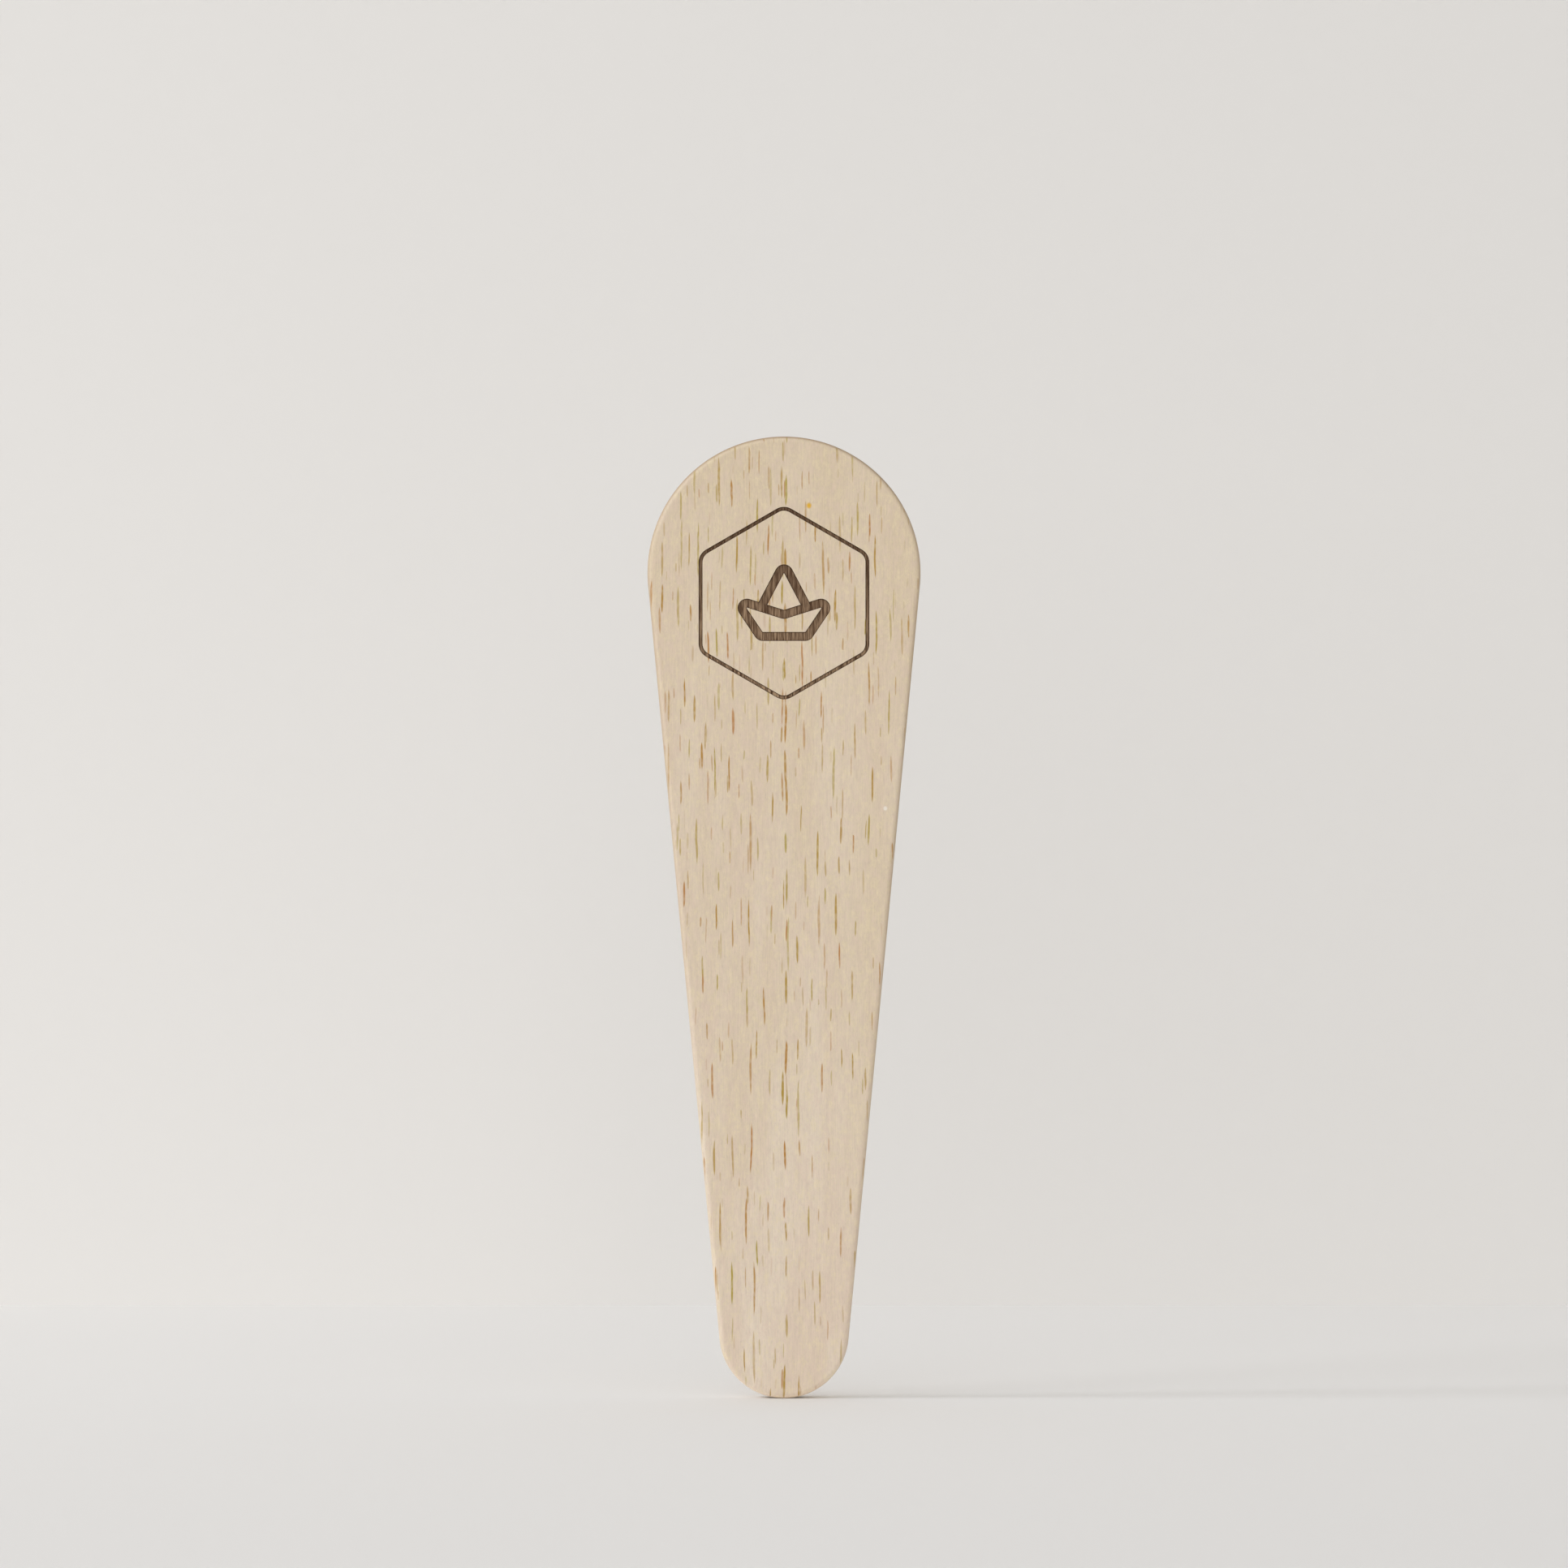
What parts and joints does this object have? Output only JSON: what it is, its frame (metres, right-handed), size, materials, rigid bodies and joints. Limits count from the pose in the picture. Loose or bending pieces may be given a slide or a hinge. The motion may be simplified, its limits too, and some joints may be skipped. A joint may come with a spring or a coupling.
{
  "type": "bone folder",
  "caption": "Flat tapered wooden blade with a broad round head, a narrow round tip, rounded edges and an engraved mark, for scoring and creasing paper.",
  "frame": {"origin": "lowest point of the narrow round tip, in the middle of the blade's thickness, with the blade standing upright", "axes": "+Z along the blade's length from the tip to the head, +Y through its thickness and out of the plain back face, +X across its width; the engraved face looks along -Y"},
  "size_m": [0.0426, 0.004, 0.15],
  "materials": {
    "beech": "finely sanded, unvarnished beech with brown ray flecks; the engraved mark is burnt dark brown"
  },
  "bodies": {
    "root": {"beech_blade": "beech"}
  },
  "joints": []
}
